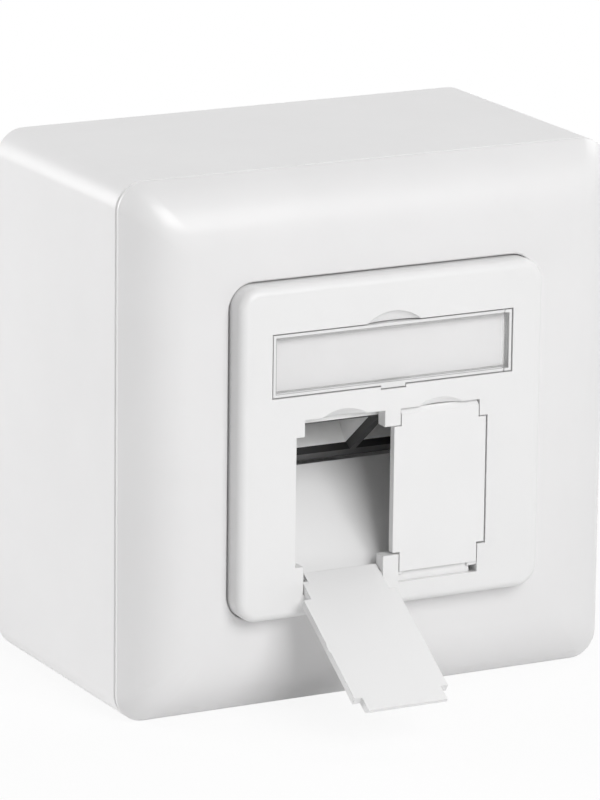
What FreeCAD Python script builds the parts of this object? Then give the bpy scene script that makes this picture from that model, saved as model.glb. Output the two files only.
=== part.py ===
"""Surface mount jack box: a bevelled 81 mm outlet for two slanted jack modules.

Frame: +X right, +Z up, -Y out of the wall.  The origin is the centre of the
back face, so every "forward" dimension below is a distance from the wall
along -Y.  Lengths are millimetres and angles are degrees.
"""

import FreeCAD, Part
import math
import os

import Sketcher

OUT_DIR = "parts"

doc = FreeCAD.newDocument("jack_box")
sheet = doc.addObject("Spreadsheet::Sheet", "Dims")

DIMENSIONS = {
    # back box
    "outer_size": 81.0,
    "box_depth": 41.0,
    "box_wall": 2.3,
    "back_wall": 2.5,
    "corner_radius": 4.2,
    "seam_chamfer": 0.3,
    "device_pitch": 60.0,
    "post_radius": 4.0,
    "post_hole_radius": 1.4,
    "post_hole_depth": 14.0,
    "post_rib": 1.6,
    "wall_hole_radius": 2.3,
    "wall_boss_radius": 5.5,
    "wall_boss_height": 1.5,
    "cable_hole_radius": 11.0,
    "breakout_width": 18.0,
    "breakout_length": 15.0,
    "breakout_skin": 0.8,
    # cover frame
    "rim_height": 0.8,
    "bevel_rise": 5.6,
    "bevel_start_angle": 62.0,
    "bevel_inner_radius": 1.5,
    "frame_opening": 50.8,
    "frame_wall": 2.2,
    "mouth_chamfer": 0.2,
    "shelf_width": 3.4,
    "shelf_thick": 1.2,
    "lip_length": 2.0,
    "lip_thick": 1.1,
    "lip_gap": 0.15,
    # module carrier
    "flange_size": 71.0,
    "flange_thick": 1.8,
    "flange_radius": 5.0,
    "flange_skirt": 2.0,
    "skirt_thick": 1.2,
    "slot_radius": 2.1,
    "slot_length": 7.0,
    "port_tilt": 38.0,
    "bay_forward": 47.2,
    "bay_height": 2.85,
    "bay_width": 14.7,
    "bay_bar": 2.7,
    "bay_top": 0.8,
    "bay_bottom": 10.4,
    "bay_depth": 7.0,
    "bay_wall": 1.2,
    "cheek": 1.4,
    "bay_lip": 3.3,
    "bay_lip_depth": 2.0,
    "bay_edge": 0.85,
    "latch_top": 2.6,
    "latch_bottom": 6.2,
    "latch_front": 2.8,
    "latch_back": 4.8,
    "block_seat": 0.45,
    "chute_side_gap": 0.35,
    "window_low": 17.5,
    "window_step": 1.8,
    "window_high": 13.4,
    # centre plate
    "plate_size": 50.3,
    "plate_front": 50.7,
    "plate_radius": 3.4,
    "plate_edge": 1.3,
    "plate_wall": 2.1,
    "skirt_wall": 1.5,
    "port_half_width": 15.9,
    "port_low": 21.7,
    "port_shoulder": 2.3,
    "port_top": 4.8,
    "notch_width": 1.35,
    "divider_width": 2.6,
    "hinge_block_height": 4.3,
    "chute_thick": 1.6,
    "chute_gap": 0.4,
    "scoop_height": 1.1,
    "scoop_half": 3.7,
    "scoop_depth": 0.9,
    # flaps and their hinge
    "hinge_inset": 0.7,
    "hinge_drop": 20.35,
    "pin_radius": 0.45,
    "pin_clearance": 0.05,
    "pin_gap": 0.35,
    "pin_mouth": 0.8,
    "flap_thick": 1.2,
    "flap_gap": 0.27,
    "flap_side_gap": 0.15,
    "flap_bevel": 0.7,
    "flap_tail_drop": 20.1,
    "flap_clear": 0.3,
    "tab_reach": 1.75,
    "tab_recess": 0.7,
    "tab_inset": 0.9,
    "tab_room": 2.05,
    "tab_gap": 0.15,
    "lip_skin": 0.6,
    "nub_height": 0.14,
    "nub_length": 2.2,
    "nub_drop": 7.6,
    "open_angle": 123.0,
    # label
    "label_width": 39.7,
    "label_high": 9.5,
    "label_centre": 13.3,
    "label_recess": 1.6,
    "label_gap": 0.1,
    "card_thick": 0.25,
    "window_thick": 1.5,
    "window_rim": 0.6,
    "window_end": 1.4,
    "label_scoop_x": 6.24,
    "label_scoop_y": 1.42,
    "label_scoop_z": 5.5,
    "label_scoop_high": 1.6,
    "backing_thick": 1.0,
    "clip_width": 4.0,
    "clip_drop": 0.45,
    # screws
    "plate_screw_x": 13.0,
    "plate_screw_z": 15.4,
    "plate_screw_radius": 1.0,
    "plate_head_radius": 2.15,
    "plate_head_height": 1.3,
    "plate_boss_radius": 2.5,
    "earth_x": 21.0,
    "earth_z": 30.5,
    "earth_screw_radius": 1.5,
    "earth_screw_length": 5.6,
    "earth_head_radius": 2.6,
    "earth_head_height": 1.8,
    "washer_radius": 3.5,
    "washer_thick": 0.6,
    "carrier_screw_length": 13.5,
    "carrier_head_radius": 3.2,
    "carrier_head_height": 2.2,
    "plate_screw_length": 10.7,
}


class Dim:
    """A length or angle that knows its value and its spreadsheet expression."""

    def __init__(self, value, text):
        self.value = float(value)
        self.text = text

    def __add__(self, other):
        other = dim(other)
        return Dim(self.value + other.value, f"({self.text} + {other.text})")

    def __sub__(self, other):
        other = dim(other)
        return Dim(self.value - other.value, f"({self.text} - {other.text})")

    def __mul__(self, other):
        other = dim(other)
        return Dim(self.value * other.value, f"({self.text} * {other.text})")

    def __truediv__(self, other):
        other = dim(other)
        return Dim(self.value / other.value, f"({self.text} / {other.text})")

    def __neg__(self):
        return Dim(-self.value, f"(-1 * {self.text})")

    def __rsub__(self, other):
        return dim(other) - self

    __radd__ = __add__
    __rmul__ = __mul__


def dim(value):
    """A Dim from a plain number, or the Dim itself."""
    return value if isinstance(value, Dim) else Dim(value, f"{float(value):g}")


def cosine(angle):
    return Dim(math.cos(math.radians(angle.value)), f"cos({angle.text})")


def sine(angle):
    return Dim(math.sin(math.radians(angle.value)), f"sin({angle.text})")


def root(square):
    return Dim(math.sqrt(square.value), f"sqrt({square.text})")


def fill_sheet():
    """Write every driving dimension as a plain number with its alias."""
    names = {}
    for row, (alias, value) in enumerate(DIMENSIONS.items(), start=1):
        sheet.set(f"A{row}", alias)
        sheet.set(f"B{row}", f"{value:g}")
        sheet.setAlias(f"B{row}", alias)
        names[alias] = Dim(value, f"Dims.{alias}")
    doc.recompute()
    return names


class Dimensions:
    """The sheet's aliases as attributes."""

    def __init__(self, names):
        self.__dict__.update(names)


D = Dimensions(fill_sheet())


# ---------------------------------------------------------------- helpers

def new_body(label):
    body = doc.addObject("PartDesign::Body", label)
    body.Label = label
    return body


def new_sketch(body, name, role, offset=0.0):
    """A sketch on one of the body's own origin planes, moved along its normal.

    On XZ_Plane the offset runs forward (-Y); on YZ_Plane it runs along +X.
    """
    plane = next(item for item in body.Origin.OriginFeatures if item.Role == role)
    sketch = body.newObject("Sketcher::SketchObject", f"{body.Label}_{name}")
    sketch.AttachmentSupport = (plane, [""])
    sketch.MapMode = "FlatFace"
    sketch.setExpression("AttachmentOffset.Base.z", dim(offset).text)
    return sketch


def bind(sketch, kind, *where, value):
    """A signed DistanceX, DistanceY or Radius constraint tied to the sheet."""
    value = dim(value)
    index = sketch.addConstraint(Sketcher.Constraint(kind, *where, value.value))
    sketch.setExpression(f"Constraints[{index}]", value.text)


def pin_point(sketch, geo, end, x, z):
    """Hold one vertex at x, z from the sketch origin."""
    bind(sketch, "DistanceX", -1, 1, geo, end, value=x)
    bind(sketch, "DistanceY", -1, 1, geo, end, value=z)


def polygon(sketch, points):
    points = [(dim(x), dim(z)) for x, z in points]
    vectors = [FreeCAD.Vector(x.value, z.value, 0) for x, z in points]
    first = sketch.GeometryCount
    count = len(points)
    for index in range(count):
        line = Part.LineSegment(vectors[index], vectors[(index + 1) % count])
        sketch.addGeometry(line, False)
    for index in range(count):
        following = first + (index + 1) % count
        sketch.addConstraint(Sketcher.Constraint("Coincident", first + index, 2, following, 1))
    for index, (x, z) in enumerate(points):
        pin_point(sketch, first + index, 1, x, z)


def rectangle(sketch, left, right, low, high):
    polygon(sketch, [(left, low), (right, low), (right, high), (left, high)])


def circle(sketch, x, z, radius):
    x, z, radius = dim(x), dim(z), dim(radius)
    shape = Part.Circle(FreeCAD.Vector(x.value, z.value, 0), FreeCAD.Vector(0, 0, 1), radius.value)
    geo = sketch.addGeometry(shape, False)
    pin_point(sketch, geo, 3, x, z)
    bind(sketch, "Radius", geo, value=radius)


def rounded_rectangle(sketch, half_x, half_z, radius):
    """A rectangle about the sketch origin with four equal round corners."""
    half_x, half_z, radius = dim(half_x), dim(half_z), dim(radius)
    inner_x = half_x - radius
    inner_z = half_z - radius
    first = sketch.GeometryCount
    corners = [(1, -1, 270), (1, 1, 0), (-1, 1, 90), (-1, -1, 180)]
    for sign_x, sign_z, start in corners:
        centre = FreeCAD.Vector(sign_x * inner_x.value, sign_z * inner_z.value, 0)
        ring = Part.Circle(centre, FreeCAD.Vector(0, 0, 1), radius.value)
        begin = math.radians(start)
        sketch.addGeometry(Part.ArcOfCircle(ring, begin, begin + math.pi / 2), False)
    for index in range(4):
        start = sketch.Geometry[first + index].EndPoint
        end = sketch.Geometry[first + (index + 1) % 4].StartPoint
        sketch.addGeometry(Part.LineSegment(start, end), False)
    for index in range(4):
        line = first + 4 + index
        following = first + (index + 1) % 4
        sketch.addConstraint(Sketcher.Constraint("Tangent", first + index, 2, line, 1))
        sketch.addConstraint(Sketcher.Constraint("Tangent", line, 2, following, 1))
    for index, (sign_x, sign_z, _) in enumerate(corners):
        pin_point(sketch, first + index, 3, inner_x * sign_x, inner_z * sign_z)
        bind(sketch, "Radius", first + index, value=radius)


def pad(sketch, length, reverse=False, midplane=False):
    body = sketch.getParentGeoFeatureGroup()
    feature = body.newObject("PartDesign::Pad", f"{sketch.Name}_pad")
    feature.Profile = sketch
    feature.setExpression("Length", dim(length).text)
    feature.Reversed = reverse
    feature.Midplane = midplane
    sketch.Visibility = False
    doc.recompute()
    return feature


def pocket(sketch, length, reverse=False, midplane=False):
    """Cut the sketch from its body, and stop if nothing was cut away."""
    body = sketch.getParentGeoFeatureGroup()
    before = body.Shape.Volume
    feature = body.newObject("PartDesign::Pocket", f"{sketch.Name}_pocket")
    feature.Profile = sketch
    feature.setExpression("Length", dim(length).text)
    feature.Reversed = reverse
    feature.Midplane = midplane
    sketch.Visibility = False
    doc.recompute()
    if body.Shape.Volume >= before - 1e-6:
        raise RuntimeError(f"{feature.Name} cuts nothing")
    return feature


def edge_feature(body, kind, name, size, wanted):
    """Fillet or chamfer the edges of the body's tip for which wanted(edge) holds."""
    tip = body.Tip
    edges = [f"Edge{i}" for i, edge in enumerate(tip.Shape.Edges, start=1) if wanted(edge)]
    if not edges:
        raise RuntimeError(f"{name} finds no edge")
    feature = body.newObject(f"PartDesign::{kind}", f"{body.Label}_{name}")
    feature.Base = (tip, edges)
    feature.setExpression("Radius" if kind == "Fillet" else "Size", dim(size).text)
    doc.recompute()
    return feature


def near(one, other, tolerance=1e-3):
    return abs(one - dim(other).value) < tolerance


def loft(body, name, sections, subtract=False):
    """A ruled loft through sketches that all have the same eight segments."""
    kind = "PartDesign::SubtractiveLoft" if subtract else "PartDesign::AdditiveLoft"
    feature = body.newObject(kind, f"{body.Label}_{name}")
    feature.Profile = sections[0]
    feature.Sections = sections[1:]
    feature.Ruled = True
    for sketch in sections:
        sketch.Visibility = False
    doc.recompute()
    return feature


def lies_at(edge, forward):
    """Whether the whole edge lies in the plane this far forward of the wall."""
    box = edge.BoundBox
    return near(-box.YMin, forward) and near(-box.YMax, forward)


def reach(edge):
    """How far the edge's middle stands from the Y axis, in X or in Z."""
    centre = edge.CenterOfMass
    return max(abs(centre.x), abs(centre.z))


# ---------------------------------------------------------------- shared sizes

OUTER_HALF = D.outer_size / 2
FRAME_FRONT = D.box_depth + D.rim_height + D.bevel_rise
BEVEL_RADIUS = D.bevel_rise / (1 - cosine(D.bevel_start_angle))
POST_TOP = D.box_depth - D.flange_thick
OPENING_HALF = D.frame_opening / 2
PLATE_HALF = D.plate_size / 2
PLATE_BACK = D.box_depth + D.shelf_thick
PLATE_INNER = D.plate_front - D.plate_wall
HINGE_FORWARD = D.plate_front - D.hinge_inset
BAY_OUTER = D.bay_bar / 2 + D.bay_width
BLOCK_HALF = BAY_OUTER + D.cheek
LABEL_HALF = D.label_width / 2
LABEL_FLOOR = D.plate_front - D.label_recess
BEVEL_STEPS = 6
CAVITY_STEPS = 2


# ---------------------------------------------------------------- back box

def make_back_box():
    """Closed-back moulded box with two device-screw posts and wall holes."""
    body = new_body("back_box")
    shell = new_sketch(body, "shell", "XZ_Plane")
    rounded_rectangle(shell, OUTER_HALF, OUTER_HALF, D.corner_radius)
    pad(shell, D.box_depth)

    inner_half = OUTER_HALF - D.box_wall
    hollow = new_sketch(body, "hollow", "XZ_Plane", D.box_depth)
    rounded_rectangle(hollow, inner_half, inner_half, D.corner_radius - D.box_wall)
    pocket(hollow, D.box_depth - D.back_wall)

    post_x = D.device_pitch / 2
    posts = new_sketch(body, "posts", "XZ_Plane", D.back_wall / 2)
    for side in (-1, 1):
        circle(posts, post_x * side, 0, D.post_radius)
    pad(posts, POST_TOP - D.back_wall / 2)
    ribs = new_sketch(body, "ribs", "XZ_Plane", D.back_wall / 2)
    half_rib = D.post_rib / 2
    wall_x = OUTER_HALF - D.box_wall / 2
    rectangle(ribs, post_x, wall_x, -half_rib, half_rib)
    rectangle(ribs, -wall_x, -post_x, -half_rib, half_rib)
    pad(ribs, POST_TOP - D.post_hole_depth)

    collars = new_sketch(body, "collars", "XZ_Plane", D.back_wall / 2)
    for side in (-1, 1):
        circle(collars, 0, post_x * side, D.wall_boss_radius)
    circle(collars, 0, 0, D.cable_hole_radius + D.wall_boss_height)
    pad(collars, D.back_wall / 2 + D.wall_boss_height)
    holes = new_sketch(body, "holes", "XZ_Plane")
    for side in (-1, 1):
        circle(holes, 0, post_x * side, D.wall_hole_radius)
    circle(holes, 0, 0, D.cable_hole_radius)
    pocket(holes, D.back_wall + D.wall_boss_height + 1, reverse=True)

    post_holes = new_sketch(body, "post_holes", "XZ_Plane", POST_TOP)
    for side in (-1, 1):
        circle(post_holes, post_x * side, 0, D.post_hole_radius)
    pocket(post_holes, D.post_hole_depth)

    skin_z = OUTER_HALF - D.breakout_skin
    breakouts = new_sketch(body, "breakouts", "XZ_Plane", D.box_depth * 0.65)
    half_width = D.breakout_width / 2
    rectangle(breakouts, -half_width, half_width, inner_half - D.box_wall, skin_z)
    rectangle(breakouts, -half_width, half_width, -skin_z, D.box_wall - inner_half)
    pocket(breakouts, D.breakout_length)

    edge_feature(body, "Chamfer", "seam", D.seam_chamfer,
                 lambda edge: lies_at(edge, D.box_depth) and on_outer_rim(edge))
    return body


def on_outer_rim(edge):
    """An edge on the outside of the 81 mm outline, not on its inner wall."""
    return reach(edge) > OUTER_HALF.value - D.corner_radius.value / 2


# ---------------------------------------------------------------- cover frame

def pillow_sections(body, name, steps, inset, drop):
    """Rounded squares that follow the bevel's arc from the rim to the flat."""
    sections = []
    rim_sine = sine(D.bevel_start_angle)
    for step in range(steps + 1):
        angle = D.bevel_start_angle * (1 - step / steps)
        inward = BEVEL_RADIUS * (rim_sine - sine(angle))
        forward = FRAME_FRONT - BEVEL_RADIUS * (1 - cosine(angle)) - drop
        blend = step / steps
        radius = (D.corner_radius - inset) * (1 - blend) + D.bevel_inner_radius * blend
        sketch = new_sketch(body, f"{name}_{step}", "XZ_Plane", forward)
        half = OUTER_HALF - inward - inset
        rounded_rectangle(sketch, half, half, radius)
        sections.append(sketch)
    return sections


def square_ring(body, name, forward, outer_half, inner_half, outer_radius, length, reverse=False):
    ring = new_sketch(body, name, "XZ_Plane", forward)
    rounded_rectangle(ring, outer_half, outer_half, outer_radius)
    rounded_rectangle(ring, inner_half, inner_half, outer_radius - (outer_half - inner_half))
    return pad(ring, length, reverse=reverse)


def make_cover_frame():
    """Pillow-bevelled frame, hollow behind, with a collar round its opening."""
    body = new_body("cover_frame")
    rim = new_sketch(body, "rim", "XZ_Plane", D.box_depth)
    rounded_rectangle(rim, OUTER_HALF, OUTER_HALF, D.corner_radius)
    pad(rim, D.rim_height)
    loft(body, "bevel", pillow_sections(body, "bevel", BEVEL_STEPS, dim(0), dim(0)))

    inner_half = OUTER_HALF - D.frame_wall
    hollow = new_sketch(body, "hollow", "XZ_Plane", D.box_depth)
    rounded_rectangle(hollow, inner_half, inner_half, D.corner_radius - D.frame_wall)
    pocket(hollow, D.rim_height, reverse=True)
    cavity = pillow_sections(body, "cavity", CAVITY_STEPS, D.frame_wall, D.frame_wall)
    loft(body, "cavity", cavity, subtract=True)

    collar_radius = D.plate_radius + 1.6
    square_ring(body, "collar", D.box_depth, OPENING_HALF + 1, OPENING_HALF - 0.5,
                collar_radius, FRAME_FRONT - D.frame_wall / 2 - D.box_depth)
    opening = new_sketch(body, "opening", "XZ_Plane", FRAME_FRONT)
    rounded_rectangle(opening, OPENING_HALF, OPENING_HALF, D.plate_radius + 0.6)
    pocket(opening, FRAME_FRONT - D.box_depth)
    square_ring(body, "shelf", D.box_depth, OPENING_HALF + 0.5, OPENING_HALF - D.shelf_width,
                collar_radius, D.shelf_thick)

    lip_half = OUTER_HALF - D.box_wall - D.lip_gap - 0.1
    square_ring(body, "lip", D.box_depth - D.lip_length, lip_half, lip_half - D.lip_thick,
                D.corner_radius - D.box_wall, D.lip_length + D.rim_height)

    edge_feature(body, "Chamfer", "seam", D.seam_chamfer,
                 lambda edge: lies_at(edge, D.box_depth) and on_outer_rim(edge))
    edge_feature(body, "Chamfer", "mouth", D.mouth_chamfer,
                 lambda edge: lies_at(edge, FRAME_FRONT) and reach(edge) < OPENING_HALF.value + 0.1)
    return body


# ---------------------------------------------------------------- module carrier

def slot(sketch, x, z, half_length, radius, upright):
    """A round-ended slot centred on x, z, running along Z when upright."""
    along_x, along_z = (dim(0), half_length) if upright else (half_length, dim(0))
    turn = 0 if upright else -90
    first = sketch.GeometryCount
    ends = [(x + along_x, z + along_z, turn), (x - along_x, z - along_z, turn + 180)]
    for end_x, end_z, start in ends:
        centre = FreeCAD.Vector(end_x.value, end_z.value, 0)
        ring = Part.Circle(centre, FreeCAD.Vector(0, 0, 1), radius.value)
        begin = math.radians(start)
        sketch.addGeometry(Part.ArcOfCircle(ring, begin, begin + math.pi), False)
    for index in range(2):
        start = sketch.Geometry[first + index].EndPoint
        end = sketch.Geometry[first + 1 - index].StartPoint
        sketch.addGeometry(Part.LineSegment(start, end), False)
    for index in range(2):
        line = first + 2 + index
        sketch.addConstraint(Sketcher.Constraint("Tangent", first + index, 2, line, 1))
        sketch.addConstraint(Sketcher.Constraint("Tangent", line, 2, first + 1 - index, 1))
    for index, (end_x, end_z, _) in enumerate(ends):
        pin_point(sketch, first + index, 3, end_x, end_z)
    bind(sketch, "Radius", first, value=radius)


def tilted(down, behind):
    """Y, Z of a point on the slanted jack face: down it, and behind it."""
    down, behind = dim(down), dim(behind)
    y = down * cosine(D.port_tilt) + behind * sine(D.port_tilt) - D.bay_forward
    z = D.bay_height - down * sine(D.port_tilt) + behind * cosine(D.port_tilt)
    return y, z


def tilted_rectangle(sketch, top, bottom, front, back):
    polygon(sketch, [tilted(top, front), tilted(bottom, front),
                     tilted(bottom, back), tilted(top, back)])


def on_jack_face(point):
    """Distances of a point down the slanted face and behind it."""
    tilt = math.radians(D.port_tilt.value)
    y = point.y + D.bay_forward.value
    z = point.z - D.bay_height.value
    down = y * math.cos(tilt) - z * math.sin(tilt)
    behind = y * math.sin(tilt) + z * math.cos(tilt)
    return down, behind


def bay_rim(edge):
    """The side and lower front edges where the two bays open in the slanted face."""
    middle_down, _ = on_jack_face(edge.CenterOfMass)
    if near(middle_down, -D.bay_top):
        return False
    for vertex in edge.Vertexes:
        down, behind = on_jack_face(vertex.Point)
        if not near(behind, 0) or abs(vertex.Point.x) > BAY_OUTER.value + 0.01:
            return False
        if down > D.bay_bottom.value + 0.01 or down < -D.bay_top.value - 0.01:
            return False
    return True


def make_module_carrier():
    """Die-cast carrier: a skirted flange and a slanted block with two jack bays."""
    body = new_body("module_carrier")
    half = D.flange_size / 2
    flange = new_sketch(body, "flange", "XZ_Plane", POST_TOP)
    rounded_rectangle(flange, half, half, D.flange_radius)
    pad(flange, D.flange_thick)
    square_ring(body, "skirt", POST_TOP, half, half - D.skirt_thick,
                D.flange_radius, D.flange_skirt, reverse=True)

    pitch = D.device_pitch / 2
    slots = new_sketch(body, "slots", "XZ_Plane", D.box_depth)
    run = D.slot_length / 2 - D.slot_radius
    for side in (-1, 1):
        slot(slots, pitch * side, dim(0), run, D.slot_radius, upright=True)
        slot(slots, dim(0), pitch * side, run, D.slot_radius, upright=False)
        circle(slots, D.plate_screw_x * side, D.plate_screw_z, D.plate_screw_radius)
    circle(slots, D.earth_x, -D.earth_z, D.earth_screw_radius)
    pocket(slots, D.flange_thick)

    narrow = BLOCK_HALF - D.block_seat
    wide = BLOCK_HALF + D.chute_side_gap
    window = new_sketch(body, "window", "XZ_Plane", D.box_depth)
    polygon(window, [(-wide, -D.window_low), (wide, -D.window_low), (wide, -D.window_step),
                     (narrow, -D.window_step), (narrow, D.window_high),
                     (-narrow, D.window_high), (-narrow, -D.window_step),
                     (-wide, -D.window_step)])
    pocket(window, D.flange_thick)

    wall = D.bay_wall
    block = new_sketch(body, "block", "YZ_Plane")
    polygon(block, [tilted(-D.bay_top - 0.5, 0), tilted(D.bay_bottom + D.bay_lip, 0),
                    tilted(D.bay_bottom + D.bay_lip, D.bay_lip_depth),
                    tilted(D.bay_bottom + wall, D.bay_lip_depth),
                    tilted(D.bay_bottom + wall, D.bay_depth),
                    tilted(-D.bay_top - wall, D.bay_depth),
                    tilted(-D.bay_top - wall, wall)])
    pad(block, BLOCK_HALF * 2, midplane=True)
    for name, side in (("bay_right", 1), ("bay_left", -1)):
        bay = new_sketch(body, name, "YZ_Plane", D.bay_bar / 2 * side)
        tilted_rectangle(bay, -D.bay_top, D.bay_bottom, -1, D.bay_depth + 1)
        pocket(bay, D.bay_width, reverse=side > 0)
    edge_feature(body, "Chamfer", "bay_rims", D.bay_edge, bay_rim)
    latch = new_sketch(body, "latches", "YZ_Plane")
    tilted_rectangle(latch, D.latch_top, D.latch_bottom, D.latch_front, D.latch_back)
    pocket(latch, BLOCK_HALF * 2 + 1, midplane=True)
    return body


# ---------------------------------------------------------------- centre plate

def port_outline():
    """Both ports as one opening, notched round the hinge blocks and the divider."""
    outer = D.port_half_width
    notch = outer - D.notch_width
    mid = D.divider_width / 2
    low = -D.port_low
    shoulder_low = low + D.hinge_block_height
    right = [(mid, D.port_top), (notch, D.port_top), (notch, D.port_shoulder),
             (outer, D.port_shoulder), (outer, shoulder_low), (notch, shoulder_low),
             (notch, low), (mid, low), (mid, shoulder_low)]
    left = [(-x, z) for x, z in reversed(right)]
    return right + left + [(-mid, D.port_shoulder), (mid, D.port_shoulder)]


def thumb_scoop(body, name, x, edge_z):
    """A spherical hollow that leaves a shallow arc in the face above edge_z."""
    half, high, deep = D.scoop_half, D.scoop_height, D.scoop_depth
    face_radius = (half * half + high * high) / (high * 2)
    drop = face_radius - high
    ahead = (face_radius * face_radius - drop * drop - deep * deep) / (deep * 2)
    ball = body.newObject("PartDesign::SubtractiveSphere", f"plate_{name}")
    ball.setExpression("Radius", root(face_radius * face_radius + ahead * ahead).text)
    ball.setExpression("Placement.Base.x", dim(x).text)
    ball.setExpression("Placement.Base.y", (-(D.plate_front + ahead)).text)
    ball.setExpression("Placement.Base.z", (edge_z - drop).text)
    doc.recompute()
    return ball


def label_scoop(body):
    """An oval hollow above the label, for lifting its window out."""
    top = D.label_centre + D.label_high / 2 + D.label_gap + D.label_scoop_high
    oval = body.newObject("PartDesign::SubtractiveEllipsoid", "plate_label_scoop")
    oval.setExpression("Radius1", D.label_scoop_z.text)
    oval.setExpression("Radius2", D.label_scoop_x.text)
    oval.setExpression("Radius3", D.label_scoop_y.text)
    oval.setExpression("Placement.Base.y", (-D.plate_front).text)
    oval.setExpression("Placement.Base.z", (top - D.label_scoop_z).text)
    doc.recompute()
    return oval


def chute_profile(sketch, forward, floor, back):
    """The triangle between an upright plane, the chute's floor and the jack face."""
    cos_tilt, sin_tilt = cosine(D.port_tilt), sine(D.port_tilt)
    lead = D.bay_forward - forward
    top_down = (lead - back * sin_tilt) / cos_tilt
    floor_behind = (lead - floor * cos_tilt) / sin_tilt
    polygon(sketch, [tilted(top_down, back), tilted(floor, back), tilted(floor, floor_behind)])


def make_centre_plate():
    """50 mm class centre plate with label recess, two ports and a slanted chute."""
    body = new_body("centre_plate")
    face = new_sketch(body, "face", "XZ_Plane", PLATE_BACK)
    rounded_rectangle(face, PLATE_HALF, PLATE_HALF, D.plate_radius)
    pad(face, D.plate_front - PLATE_BACK)
    edge_feature(body, "Fillet", "front_edge", D.plate_edge,
                 lambda edge: lies_at(edge, D.plate_front))
    inner = PLATE_HALF - D.skirt_wall
    hollow = new_sketch(body, "hollow", "XZ_Plane", PLATE_BACK)
    rounded_rectangle(hollow, inner, inner, D.plate_radius - D.skirt_wall)
    pocket(hollow, PLATE_INNER - PLATE_BACK, reverse=True)

    slack = D.label_gap
    recess_x = LABEL_HALF + slack
    recess_low = D.label_centre - D.label_high / 2 - slack
    recess_high = D.label_centre + D.label_high / 2 + slack
    backing_back = PLATE_INNER - D.backing_thick
    backing = new_sketch(body, "backing", "XZ_Plane", backing_back)
    rectangle(backing, -recess_x - 1, recess_x + 1, recess_low - 1, recess_high + 1)
    pad(backing, D.backing_thick + 0.3)
    bosses = new_sketch(body, "bosses", "XZ_Plane", D.box_depth)
    for side in (-1, 1):
        circle(bosses, D.plate_screw_x * side, D.plate_screw_z, D.plate_boss_radius)
    pad(bosses, PLATE_INNER - D.box_depth)

    floor = CHUTE_FLOOR
    shell = new_sketch(body, "chute", "YZ_Plane")
    chute_profile(shell, PLATE_INNER + 0.1, floor + D.chute_thick, -D.chute_gap)
    pad(shell, BLOCK_HALF * 2, midplane=True)
    inside = new_sketch(body, "chute_inside", "YZ_Plane")
    chute_profile(inside, PLATE_INNER, floor, dim(1))
    pocket(inside, BAY_OUTER * 2, midplane=True)
    ports = new_sketch(body, "ports", "XZ_Plane", D.plate_front)
    polygon(ports, port_outline())
    pocket(ports, D.plate_wall)

    lip = new_sketch(body, "tab_room", "YZ_Plane")
    tab_bottom = -D.hinge_drop - D.tab_reach - D.tab_gap
    rectangle(lip, D.lip_skin - D.plate_front, 0.1 - PLATE_INNER, tab_bottom, 0.1 - D.port_low)
    pocket(lip, (D.port_half_width - D.notch_width) * 2, midplane=True)
    half_span = D.port_half_width - D.pin_gap + D.pin_clearance
    bearing = new_sketch(body, "bearings", "YZ_Plane")
    circle(bearing, -HINGE_FORWARD, -D.hinge_drop, D.pin_radius + D.pin_clearance)
    pocket(bearing, half_span * 2, midplane=True)
    mouth = new_sketch(body, "bearing_mouths", "YZ_Plane")
    rectangle(mouth, -HINGE_FORWARD, 0.1 - PLATE_INNER,
              -D.hinge_drop - D.pin_mouth / 2, -D.hinge_drop + D.pin_mouth / 2)
    pocket(mouth, half_span * 2, midplane=True)

    recess = new_sketch(body, "recess", "XZ_Plane", D.plate_front)
    half_clip = D.clip_width / 2 + 0.1
    polygon(recess, [(-recess_x, recess_low), (-half_clip, recess_low),
                     (-half_clip, recess_low - D.clip_drop),
                     (half_clip, recess_low - D.clip_drop), (half_clip, recess_low),
                     (recess_x, recess_low), (recess_x, recess_high), (-recess_x, recess_high)])
    pocket(recess, D.label_recess)
    heads = new_sketch(body, "heads", "XZ_Plane", LABEL_FLOOR)
    shafts = new_sketch(body, "shafts", "XZ_Plane", LABEL_FLOOR)
    for side in (-1, 1):
        circle(heads, D.plate_screw_x * side, D.plate_screw_z, D.plate_head_radius + 0.15)
        circle(shafts, D.plate_screw_x * side, D.plate_screw_z, D.plate_screw_radius + 0.4)
    pocket(heads, D.plate_head_height + 0.1)
    pocket(shafts, LABEL_FLOOR - D.box_depth)

    label_scoop(body)
    scoop_x = D.port_half_width / 2
    thumb_scoop(body, "scoop_right", scoop_x, D.port_top)
    thumb_scoop(body, "scoop_left", -scoop_x, D.port_top)
    return body


# ---------------------------------------------------------------- flaps

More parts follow.
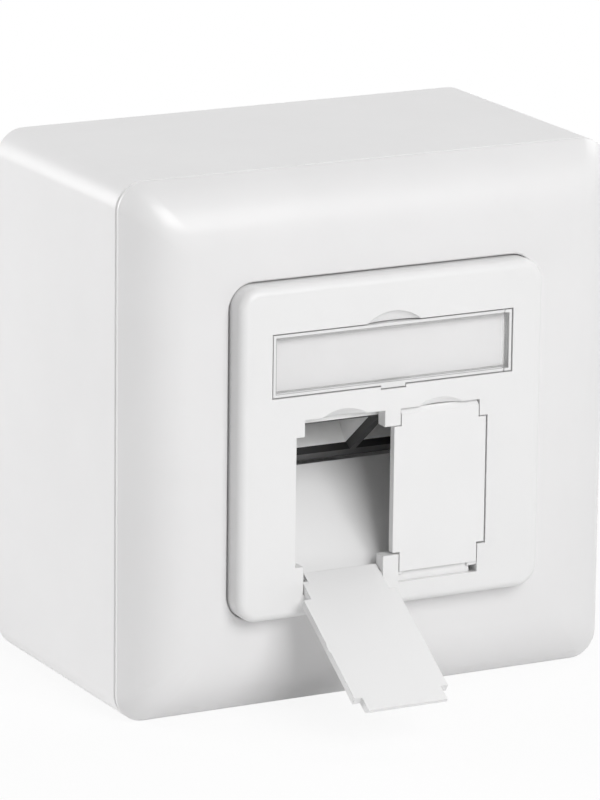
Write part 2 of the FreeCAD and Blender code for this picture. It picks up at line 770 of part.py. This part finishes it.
def make_flap(label, side, opened):
    """One dust flap on its own pins; side is +1 right, -1 left."""
    body = new_body(label)
    gap = D.flap_gap
    outer = D.port_half_width - gap
    narrow_outer = D.port_half_width - D.notch_width - D.flap_side_gap
    narrow_inner = D.divider_width / 2 + D.flap_side_gap
    tail = -D.flap_tail_drop
    low = -D.port_low + D.hinge_block_height + D.flap_clear
    shoulder = D.port_shoulder - D.flap_side_gap
    top = D.port_top - D.flap_side_gap
    outline = [(narrow_inner, tail), (narrow_outer, tail), (narrow_outer, low), (outer, low),
               (outer, shoulder), (narrow_outer, shoulder), (narrow_outer, top),
               (narrow_inner, top), (narrow_inner, shoulder), (gap, shoulder), (gap, low),
               (narrow_inner, low)]
    leaf = new_sketch(body, "leaf", "XZ_Plane", D.plate_front - D.flap_thick)
    polygon(leaf, [(x * side, z) for x, z in outline])
    pad(leaf, D.flap_thick)
    edge_feature(body, "Chamfer", "thumb_edge", D.flap_bevel,
                 lambda edge: lies_at(edge, D.plate_front) and near(edge.CenterOfMass.z, top))

    tab_outer = narrow_outer - D.tab_inset
    tab = new_sketch(body, "tab", "YZ_Plane", narrow_inner * side)
    rectangle(tab, D.tab_recess - D.plate_front, D.flap_thick - D.plate_front,
              -D.hinge_drop - D.tab_reach, tail + 0.2)
    pad(tab, tab_outer - narrow_inner, reverse=side < 0)
    for name, near_end, far_end in (
            ("inner_pin", D.pin_gap, narrow_inner + 0.5),
            ("outer_pin", tab_outer - 0.5, D.port_half_width - D.pin_gap)):
        rod = new_sketch(body, name, "YZ_Plane", near_end * side)
        circle(rod, -HINGE_FORWARD, -D.hinge_drop, D.pin_radius)
        pad(rod, far_end - near_end, reverse=side < 0)

    nub = new_sketch(body, "nub", "XZ_Plane", D.plate_front - D.flap_thick)
    half_nub = D.nub_length / 2
    root_x, peak_x = outer - 0.1, outer + D.nub_height
    points = [(root_x, -D.nub_drop - half_nub), (peak_x, -D.nub_drop - half_nub / 2),
              (peak_x, -D.nub_drop + half_nub / 2), (root_x, -D.nub_drop + half_nub)]
    polygon(nub, [(x * side, z) for x, z in points])
    pad(nub, D.flap_thick - 0.5)
    if opened:
        axis_point = FreeCAD.Vector(0, -HINGE_FORWARD.value, -D.hinge_drop.value)
        swing = FreeCAD.Rotation(FreeCAD.Vector(1, 0, 0), D.open_angle.value)
        body.Placement = FreeCAD.Placement(FreeCAD.Vector(), swing, axis_point)
        doc.recompute()
    return body


# ---------------------------------------------------------------- label

def make_label_window():
    """Clear window with a card pocket behind it and a clip on its lower edge."""
    body = new_body("label_window")
    half = LABEL_HALF - 0.1
    half_clip = D.clip_width / 2
    low = D.label_centre - D.label_high / 2 + 0.1
    high = D.label_centre + D.label_high / 2 - 0.1
    clip_low = low - D.clip_drop
    sheet_face = new_sketch(body, "pane", "XZ_Plane", LABEL_FLOOR)
    polygon(sheet_face, [(-half, low), (-half_clip, low), (-half_clip, clip_low),
                         (half_clip, clip_low), (half_clip, low), (half, low),
                         (half, high), (-half, high)])
    pad(sheet_face, D.window_thick)
    card_room = new_sketch(body, "card_room", "XZ_Plane", LABEL_FLOOR)
    rectangle(card_room, -half + D.window_rim, half - D.window_rim,
              low + D.window_rim, high - D.window_rim)
    pocket(card_room, D.card_thick + 0.05, reverse=True)
    groove = new_sketch(body, "groove", "XZ_Plane", LABEL_FLOOR + D.window_thick)
    rectangle(groove, half - D.window_end, half - D.window_end + 0.3, low - 0.1, high + 0.1)
    pocket(groove, 0.25)
    return body


def make_label_card():
    """Blank card behind the window."""
    body = new_body("label_card")
    room_x = LABEL_HALF - 0.1 - D.window_rim
    room_z = D.label_high / 2 - 0.1 - D.window_rim
    card = new_sketch(body, "card", "XZ_Plane", LABEL_FLOOR)
    rectangle(card, 0.1 - room_x, room_x - 0.1,
              D.label_centre - room_z + 0.1, D.label_centre + room_z - 0.1)
    pad(card, D.card_thick)
    return body


# ---------------------------------------------------------------- screws

def make_screw(label, place, core, length, head_radius, head_height):
    """Cross-recess screw along Y, its head's underside at the given place."""
    body = new_body(label)
    profile = new_sketch(body, "profile", "YZ_Plane")
    polygon(profile, [(length, 0), (length, core), (0, core), (0, head_radius),
                      (-head_height, head_radius), (-head_height, 0)])
    turned = body.newObject("PartDesign::Revolution", f"{label}_turned")
    turned.Profile = profile
    turned.ReferenceAxis = (profile, ["H_Axis"])
    profile.Visibility = False
    doc.recompute()
    cross = new_sketch(body, "cross", "XZ_Plane", head_height)
    arm = head_radius * 0.5
    slim = head_radius * 0.12
    polygon(cross, [(arm, -slim), (arm, slim), (slim, slim), (slim, arm), (-slim, arm),
                    (-slim, slim), (-arm, slim), (-arm, -slim), (-slim, -slim),
                    (-slim, -arm), (slim, -arm), (slim, -slim)])
    pocket(cross, head_height * 0.6)
    for axis, value in zip("xyz", place):
        body.setExpression(f"Placement.Base.{axis}", dim(value).text)
    doc.recompute()
    return body


def make_washer():
    body = new_body("earth_washer")
    ring = new_sketch(body, "ring", "XZ_Plane", D.box_depth)
    circle(ring, D.earth_x, -D.earth_z, D.washer_radius)
    circle(ring, D.earth_x, -D.earth_z, D.earth_screw_radius + 0.1)
    pad(ring, D.washer_thick)
    return body


# ---------------------------------------------------------------- assembly

CHUTE_FLOOR = ((D.bay_forward - HINGE_FORWARD) * cosine(D.port_tilt)
               + (D.bay_height + D.hinge_drop) * sine(D.port_tilt) + D.tab_room)
PITCH = D.device_pitch / 2
PLATE_SEAT = LABEL_FLOOR - D.plate_head_height - 0.1
FIT = 0.05

parts = [
    make_back_box(),
    make_module_carrier(),
    make_cover_frame(),
    make_centre_plate(),
    make_flap("flap_left", -1, opened=True),
    make_flap("flap_right", 1, opened=False),
    make_label_card(),
    make_label_window(),
    make_washer(),
]
for name, side in (("left", -1), ("right", 1)):
    parts.append(make_screw(
        f"carrier_screw_{name}", (PITCH * side, -D.box_depth, 0),
        D.post_hole_radius - FIT, D.carrier_screw_length, D.carrier_head_radius,
        D.carrier_head_height))
    parts.append(make_screw(
        f"plate_screw_{name}", (D.plate_screw_x * side, -PLATE_SEAT, D.plate_screw_z),
        D.plate_screw_radius - FIT, D.plate_screw_length, D.plate_head_radius,
        D.plate_head_height))
parts.append(make_screw(
    "earth_screw", (D.earth_x, -(D.box_depth + D.washer_thick), -D.earth_z),
    D.earth_screw_radius - FIT, D.earth_screw_length, D.earth_head_radius,
    D.earth_head_height))

doc.recompute()
for item in doc.Objects:
    if "Invalid" in item.State or "Error" in item.State:
        raise RuntimeError(f"{item.Label}: {item.State}")
for body in parts:
    if body.Shape.isNull() or not body.Shape.isValid() or len(body.Shape.Solids) != 1:
        raise RuntimeError(f"{body.Label} is not one valid solid")

os.makedirs(OUT_DIR, exist_ok=True)
for body in parts:
    body.Shape.exportStep(f"{OUT_DIR}/{body.Label}.step")
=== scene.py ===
"""Surface mount jack box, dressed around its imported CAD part.

Every solid keeps its CAD shape.  This script gives the solids their materials and
smooth shading, and adds a pale floor, soft studio light and the camera.
Lengths are metres, the small ones written as millimetres times MM.  Angles are
written in degrees.
"""

import math

import bpy
from mathutils import Matrix, Vector


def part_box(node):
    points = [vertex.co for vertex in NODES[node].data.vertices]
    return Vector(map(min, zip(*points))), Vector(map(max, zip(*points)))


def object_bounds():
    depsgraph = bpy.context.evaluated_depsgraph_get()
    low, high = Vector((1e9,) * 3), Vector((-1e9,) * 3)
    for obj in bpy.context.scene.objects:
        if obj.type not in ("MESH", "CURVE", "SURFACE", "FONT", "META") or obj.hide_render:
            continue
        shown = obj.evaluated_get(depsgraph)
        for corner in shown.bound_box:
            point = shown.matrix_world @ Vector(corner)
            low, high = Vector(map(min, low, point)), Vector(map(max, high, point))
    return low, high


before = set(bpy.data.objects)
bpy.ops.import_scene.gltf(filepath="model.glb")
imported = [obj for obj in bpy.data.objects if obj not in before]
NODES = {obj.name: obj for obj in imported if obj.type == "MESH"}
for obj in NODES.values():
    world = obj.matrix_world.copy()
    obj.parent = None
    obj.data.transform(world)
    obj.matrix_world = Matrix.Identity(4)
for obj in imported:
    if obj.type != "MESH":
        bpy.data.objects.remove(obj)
CAD_BOX = [list(corner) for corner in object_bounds()]

MM = 0.001
WHITE = (1, 1, 1)


# ---------------------------------------------------------------- node helpers

class Nodes:
    """The node tree of a material or world, with short ways to add and link nodes."""

    def __init__(self, owner):
        owner.use_nodes = True
        self.tree = owner.node_tree
        self.tree.nodes.clear()

    def add(self, kind, values=None, **settings):
        """A new node: settings are its own options, and values go on its input sockets."""
        node = self.tree.nodes.new(kind)
        for name, setting in settings.items():
            setattr(node, name, setting)
        for socket, value in (values or {}).items():
            node.inputs[socket].default_value = value
        return node

    def link(self, output, node, socket):
        """Run an output socket into one of a node's inputs."""
        self.tree.links.new(output, node.inputs[socket])

    def maths(self, operation, one, other):
        """The result of a two-number operation on two sockets."""
        node = self.add("ShaderNodeMath", operation=operation)
        self.link(one, node, 0)
        self.link(other, node, 1)
        return node.outputs[0]

    def any_ray(self, *kinds):
        """1 on a ray of any of the named kinds, such as "Camera", and 0 on all others."""
        path = self.add("ShaderNodeLightPath")
        rays = [path.outputs[f"Is {kind} Ray"] for kind in kinds]
        either = rays[0]
        for ray in rays[1:]:
            either = self.maths("MAXIMUM", either, ray)
        return either

    def blend_shaders(self, share, first, second):
        """The first shader where the share is 0, and the second where it is 1."""
        mix = self.add("ShaderNodeMixShader")
        self.link(share, mix, "Fac")
        self.link(first.outputs[0], mix, 1)
        self.link(second.outputs[0], mix, 2)
        return mix

    def blend_colours(self, share, first, second, blend_type="MIX"):
        """Two colours mixed by a share; each of the three is a socket or a value."""
        mix = self.add("ShaderNodeMix", data_type="RGBA", blend_type=blend_type)
        for socket, source in (("Factor", share), ("A", first), ("B", second)):
            if isinstance(source, bpy.types.NodeSocket):
                self.link(source, mix, socket)
            else:
                mix.inputs[socket].default_value = source
        return mix.outputs["Result"]


def new_material(name):
    material = bpy.data.materials.new(name)
    return material, Nodes(material)


def grey(level):
    return (level, level, level)


def opaque(colour):
    """A colour with the fourth value that Blender's colour sockets take."""
    return (*colour, 1)


# ---------------------------------------------------------------- surface detail

NOISE_DETAIL = 3.0
# The noise values at which a cloud's darker tone ends and its lighter tone is full.
CLOUD_EDGES = (0.3, 0.7)
SMEARS_PER_CLOUD = 7
GLOSS_SPREAD = 0.04
GRAIN_DEPTH = 0.05 * MM
EDGE_SAMPLES = 4


def grain(nodes, scale):
    """Noise through the object, with this many cells in a metre."""
    where = nodes.add("ShaderNodeTexCoord")
    noise = nodes.add("ShaderNodeTexNoise", {"Scale": scale, "Detail": NOISE_DETAIL})
    nodes.link(where.outputs["Object"], noise, "Vector")
    return noise.outputs["Fac"]


def clouds(nodes, scale, low, high):
    """A colour that drifts between two tones in soft patches."""
    ramp = nodes.add("ShaderNodeValToRGB")
    for stop, position, tone in zip(ramp.color_ramp.elements, CLOUD_EDGES, (low, high)):
        stop.position = position
        stop.color = opaque(tone)
    nodes.link(grain(nodes, scale), ramp, "Fac")
    return ramp.outputs["Color"]


def uneven_gloss(nodes, shader, scale, low, high):
    """Roughness that wanders between two values."""
    spread = nodes.add("ShaderNodeMapRange", {"To Min": low, "To Max": high})
    nodes.link(grain(nodes, scale), spread, "Value")
    nodes.link(spread.outputs["Result"], shader, "Roughness")


def fine_grain(nodes, shader, scale, strength):
    """A fine relief.  Returns its node, whose Normal input is still free."""
    relief = nodes.add("ShaderNodeBump", {"Strength": strength, "Distance": GRAIN_DEPTH})
    nodes.link(grain(nodes, scale), relief, "Height")
    nodes.link(relief.outputs["Normal"], shader, "Normal")
    return relief


def finish_material(nodes, shader):
    out = nodes.add("ShaderNodeOutputMaterial")
    nodes.link(shader.outputs[0], out, "Surface")


def surface(name, low, high, rough, bump=0.02, edge=0.12 * MM, grain_scale=9000,
            cloud_scale=60, metallic=0.0):
    """Plastic, card or steel: faint clouds of tone, uneven gloss, fine grain, soft edges."""
    material, nodes = new_material(name)
    shader = nodes.add("ShaderNodeBsdfPrincipled", {"Metallic": metallic})
    nodes.link(clouds(nodes, cloud_scale, low, high), shader, "Base Color")
    uneven_gloss(nodes, shader, cloud_scale * SMEARS_PER_CLOUD,
                 low=rough - GLOSS_SPREAD, high=rough + GLOSS_SPREAD)
    relief = fine_grain(nodes, shader, grain_scale, bump)
    rounding = nodes.add("ShaderNodeBevel", {"Radius": edge}, samples=EDGE_SAMPLES)
    nodes.link(rounding.outputs["Normal"], relief, "Normal")
    finish_material(nodes, shader)
    return material


# ---------------------------------------------------------------- label window

CARD_SLACK = 0.2 * MM
# Width of the grey line of painted shade round the pane.
SHADE_LINE_WIDTH = 0.1 * MM
CARD_LOW, CARD_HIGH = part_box("label_card")
PANE_LOW = [value - CARD_SLACK for value in CARD_LOW]
PANE_HIGH = [value + CARD_SLACK for value in CARD_HIGH]


def inside_span(nodes, value, low, high):
    """1 where a coordinate lies between low and high, and 0 elsewhere."""
    middle, reach = (low + high) / 2, (high - low) / 2
    span = nodes.add("ShaderNodeMath", {1: middle, 2: reach}, operation="COMPARE")
    nodes.link(value, span, 0)
    return span.outputs[0]


def inside_oblong(nodes, place, margin):
    """1 inside the pane as seen from the front, widened by a margin, and 0 outside it."""
    spans = [inside_span(nodes, place.outputs[socket], PANE_LOW[axis] - margin,
                         PANE_HIGH[axis] + margin)
             for socket, axis in (("X", 0), ("Z", 2))]
    return nodes.maths("MULTIPLY", *spans)


def clear_plastic(name):
    """Clear over the card, with a grey line of painted shade round that pane and a milky
    moulded rim.
    """
    material, nodes = new_material(name)
    shader = nodes.add("ShaderNodeBsdfPrincipled", {"IOR": 1.46})
    where = nodes.add("ShaderNodeTexCoord")
    place = nodes.add("ShaderNodeSeparateXYZ")
    nodes.link(where.outputs["Object"], place, "Vector")
    pane = inside_oblong(nodes, place, 0)
    pane_and_shade_line = inside_oblong(nodes, place, SHADE_LINE_WIDTH)
    nodes.link(pane, shader, "Transmission Weight")
    # Painted shade: the grey line round the pane stands for the shadow in the gap at the
    # hollow's wall.
    milky, line = opaque(grey(0.78)), opaque(grey(0.45))
    rim = nodes.blend_colours(pane_and_shade_line, milky, line)
    tint = clouds(nodes, scale=40, low=grey(0.965), high=grey(0.99))
    nodes.link(nodes.blend_colours(pane, rim, tint), shader, "Base Color")
    uneven_gloss(nodes, shader, scale=500, low=0.02, high=0.08)
    # Light passes the pane unbent, so that the card behind it is lit as if it lay open.
    unseen = nodes.any_ray("Shadow", "Diffuse")
    let_through = nodes.maths("MULTIPLY", unseen, pane)
    open_air = nodes.add("ShaderNodeBsdfTransparent")
    finish_material(nodes, nodes.blend_shaders(let_through, shader, open_air))
    return material


# ---------------------------------------------------------------- module carrier

# The slanted jack face looks down and forward, this much off straight down.
PORT_TILT = math.radians(38)
JACK_FACE_WAY = (0, -math.sin(PORT_TILT), -math.cos(PORT_TILT))


def cast_metal(name):
    """Die-cast carrier: light metal walls, and painted shade that makes the chamfered rims
    near-black and the slanted jack face dark.
    """
    # Painted shade: the chamfered rims are coloured near-black and the jack face dark, for the
    # shadowed gap above the chute.
    wall_tone, rim, face = (0.96, 0.96, 0.955), grey(0.008), grey(0.07)
    # How squarely a surface looks the way the jack face does, from 0 to 1, and its colour
    # there, with painted shade on the rims and the jack face.
    stops = ((0.64, wall_tone), (0.68, rim), (0.80, rim), (0.90, face))
    material, nodes = new_material(name)
    shader = nodes.add("ShaderNodeBsdfPrincipled", {"Metallic": 0.15})
    where = nodes.add("ShaderNodeTexCoord")
    lean = nodes.add("ShaderNodeVectorMath", {1: JACK_FACE_WAY}, operation="DOT_PRODUCT")
    nodes.link(where.outputs["Normal"], lean, 0)
    shade_by_facing = nodes.add("ShaderNodeValToRGB")
    elements = shade_by_facing.color_ramp.elements
    for index, (position, colour) in enumerate(stops):
        stop = elements[index] if index < len(elements) else elements.new(position)
        stop.position = position
        stop.color = opaque(colour)
    nodes.link(lean.outputs["Value"], shade_by_facing, "Fac")
    tone = clouds(nodes, scale=200, low=grey(0.88), high=WHITE)
    colour = nodes.blend_colours(1.0, shade_by_facing.outputs["Color"], tone, blend_type="MULTIPLY")
    nodes.link(colour, shader, "Base Color")
    uneven_gloss(nodes, shader, scale=1400, low=0.38, high=0.52)
    fine_grain(nodes, shader, scale=3000, strength=0.08)
    finish_material(nodes, shader)
    return material


# ---------------------------------------------------------------- materials

MATERIALS = {
    "housing": surface("housing_plastic", low=(0.805, 0.80, 0.802), high=(0.825, 0.82, 0.822),
                       rough=0.32, edge=0.03 * MM),
    "frame": surface("frame_plastic", low=(0.79, 0.785, 0.787), high=(0.81, 0.805, 0.807),
                     rough=0.30, edge=0.05 * MM),
    "plate": surface("plate_plastic", low=(0.815, 0.813, 0.813), high=(0.835, 0.833, 0.833),
                     rough=0.34),
    "flap": surface("flap_plastic", low=(0.83, 0.828, 0.828), high=(0.85, 0.848, 0.848),
                    rough=0.42, bump=0.05),
    "cast": cast_metal("cast_metal"),
    "card": surface("card_paper", low=(0.76, 0.755, 0.757), high=(0.79, 0.785, 0.787),
                    rough=0.8, bump=0.2, grain_scale=4000),
    "steel": surface("screw_steel", low=(0.50, 0.50, 0.49), high=(0.60, 0.60, 0.59),
                     rough=0.3, cloud_scale=400, metallic=1.0),
    "clear": clear_plastic("window_plastic"),
}
NODE_MATERIAL = {
    "back_box": "housing",
    "cover_frame": "frame",
    "centre_plate": "plate",
    "flap_left": "flap",
    "flap_right": "flap",
    "module_carrier": "cast",
    "label_card": "card",
    "label_window": "clear",
    "carrier_screw_left": "steel",
    "carrier_screw_right": "steel",
    "plate_screw_left": "steel",
    "plate_screw_right": "steel",
    "earth_screw": "steel",
    "earth_washer": "steel",
}
for node_name, key in NODE_MATERIAL.items():
    for material_slot in NODES[node_name].material_slots:
        material_slot.material = MATERIALS[key]


# ---------------------------------------------------------------- shading

SMOOTH_BELOW = math.radians(28)
WELD_DISTANCE = 0.001 * MM
FACE_AREA_WEIGHT = 100


def smoothing_group():
    """Weld the triangles, and keep an edge sharp only where it turns by more than the limit."""
    group = bpy.data.node_groups.new("smooth_below_limit", "GeometryNodeTree")
    for direction in ("INPUT", "OUTPUT"):
        group.interface.new_socket("Geometry", in_out=direction,
                                   socket_type="NodeSocketGeometry")
    start = group.nodes.new("NodeGroupInput")
    welded = group.nodes.new("GeometryNodeMergeByDistance")
    welded.inputs["Distance"].default_value = WELD_DISTANCE
    angle = group.nodes.new("GeometryNodeInputMeshEdgeAngle")
    sharp = group.nodes.new("FunctionNodeCompare")
    sharp.inputs["B"].default_value = SMOOTH_BELOW
    normals = group.nodes.new("GeometryNodeSetMeshNormal")
    normals.mode = "SHARPNESS"
    normals.inputs["Remove Custom"].default_value = True
    normals.inputs["Face Sharpness"].default_value = False
    end = group.nodes.new("NodeGroupOutput")
    group.links.new(start.outputs[0], welded.inputs["Geometry"])
    group.links.new(welded.outputs["Geometry"], normals.inputs["Mesh"])
    group.links.new(angle.outputs["Unsigned Angle"], sharp.inputs["A"])
    group.links.new(sharp.outputs["Result"], normals.inputs["Edge Sharpness"])
    group.links.new(normals.outputs["Mesh"], end.inputs[0])
    return group


SMOOTHING = smoothing_group()
for node in NODES.values():
    smooth = node.modifiers.new("smooth", "NODES")
    smooth.node_group = SMOOTHING
    weighted = node.modifiers.new("weighted", "WEIGHTED_NORMAL")
    weighted.keep_sharp = True
    weighted.weight = FACE_AREA_WEIGHT


# ---------------------------------------------------------------- floor and world

# The rays that see the floor and the backdrop as white: straight, or by gloss or glass.
SEEN = ("Camera", "Glossy", "Transmission")
FLOOR_HALF = 4.0
FLOOR_GAP = 0.1 * MM
FLOOR_TONE = 0.9
# The floor's white share grows from this one up to 1 between these distances.
WHITE_NEAR = 0.90
WHITER_FROM = 70 * MM
WHITER_UNTIL = 300 * MM
WORLD_LEVEL = 0.2


def floor_material():
    """Pale floor that looks white, yet keeps a little of the shadow near the object."""
    material, nodes = new_material("floor_paper")
    matt = nodes.add("ShaderNodeBsdfDiffuse", {"Color": opaque(grey(FLOOR_TONE))})
    glow = nodes.add("ShaderNodeEmission", {"Color": opaque(WHITE), "Strength": 1.0})
    where = nodes.add("ShaderNodeTexCoord")
    away = nodes.add("ShaderNodeVectorMath", operation="LENGTH")
    nodes.link(where.outputs["Object"], away, 0)
    whiter = nodes.add("ShaderNodeMapRange", {
        "From Min": WHITER_FROM, "From Max": WHITER_UNTIL, "To Min": WHITE_NEAR})
    nodes.link(away.outputs["Value"], whiter, "Value")
    share = nodes.maths("MULTIPLY", nodes.any_ray(*SEEN), whiter.outputs["Result"])
    finish_material(nodes, nodes.blend_shaders(share, matt, glow))
    return material


def make_floor():
    """One flat square just under the object."""
    mesh = bpy.data.meshes.new("floor")
    level = CAD_BOX[0][2] - FLOOR_GAP
    corners = [(x * FLOOR_HALF, y * FLOOR_HALF, level)
               for x, y in ((-1, -1), (1, -1), (1, 1), (-1, 1))]
    mesh.from_pydata(corners, [], [(0, 1, 2, 3)])
    mesh.materials.append(floor_material())
    sheet = bpy.data.objects.new("floor", mesh)
    bpy.context.scene.collection.objects.link(sheet)
    return sheet


floor = make_floor()


def studio_world():
    """Faint even light on the object, while the backdrop itself looks white."""
    world = bpy.data.worlds.new("studio")
    bpy.context.scene.world = world
    nodes = Nodes(world)
    light = nodes.add("ShaderNodeBackground",
                      {"Color": opaque(WHITE), "Strength": WORLD_LEVEL})
    backdrop = nodes.add("ShaderNodeBackground", {"Color": opaque(WHITE), "Strength": 1.0})
    out = nodes.add("ShaderNodeOutputWorld")
    mix = nodes.blend_shaders(nodes.any_ray(*SEEN), light, backdrop)
    nodes.link(mix.outputs[0], out, "Surface")


studio_world()


# ---------------------------------------------------------------- lamps

# Azimuth 0 is straight in front of the object, and 90 is on its right.
LAMPS = {
    "key": {"azimuth": 6, "elevation": 31, "watts": 4.7},
    "top": {"azimuth": -10, "elevation": 60, "watts": 0.6},
    "right": {"azimuth": 100, "elevation": 40, "watts": 1.75},
    "back_left": {"azimuth": -130, "elevation": 14, "watts": 5.4},
}
LAMP_DISTANCE = 900 * MM
LAMP_SIZE = 500 * MM


def way_to(azimuth, elevation):
    """The unit vector from the object towards a lamp or the camera."""
    turn, rise = math.radians(azimuth), math.radians(elevation)
    return Vector((math.sin(turn) * math.cos(rise), -math.cos(turn) * math.cos(rise),
                   math.sin(rise)))


def add_lamp(name, azimuth, elevation, watts):
    """A square area lamp aimed at the object."""
    data = bpy.data.lights.new(name, "AREA")
    data.shape = "SQUARE"
    data.size = LAMP_SIZE
    data.energy = watts
    way = way_to(azimuth, elevation)
    lamp = bpy.data.objects.new(name, data)
    lamp.location = way * LAMP_DISTANCE
    lamp.rotation_euler = way.to_track_quat("Z", "Y").to_euler()
    bpy.context.scene.collection.objects.link(lamp)


for lamp_name, setting in LAMPS.items():
    add_lamp(lamp_name, **setting)


# ---------------------------------------------------------------- camera

CAMERA_AZIMUTH = -27.60
CAMERA_ELEVATION = 14.62
CAMERA_ROLL = 0.65
CAMERA_TARGET = Vector((11.08, 0, -6.95)) * MM
CAMERA_DISTANCE = 893.3 * MM
# Lens and sensor are in millimetres, and the clip distances in metres.
CAMERA_LENS = 258.55
SENSOR_HEIGHT = 36.0
CLIP_NEAR = 0.01
CLIP_FAR = 50


def place_camera():
    data = bpy.data.cameras.new("camera")
    data.lens = CAMERA_LENS
    data.sensor_fit = "VERTICAL"
    data.sensor_height = SENSOR_HEIGHT
    data.clip_start = CLIP_NEAR
    data.clip_end = CLIP_FAR
    camera = bpy.data.objects.new("camera", data)
    way = way_to(CAMERA_AZIMUTH, CAMERA_ELEVATION)
    camera.location = CAMERA_TARGET + way * CAMERA_DISTANCE
    facing = way.to_track_quat("Z", "Y").to_matrix()
    roll = Matrix.Rotation(math.radians(CAMERA_ROLL), 3, "Z")
    camera.rotation_euler = (facing @ roll).to_euler()
    bpy.context.scene.collection.objects.link(camera)
    bpy.context.scene.camera = camera


place_camera()
bpy.context.scene.view_settings.view_transform = "Standard"
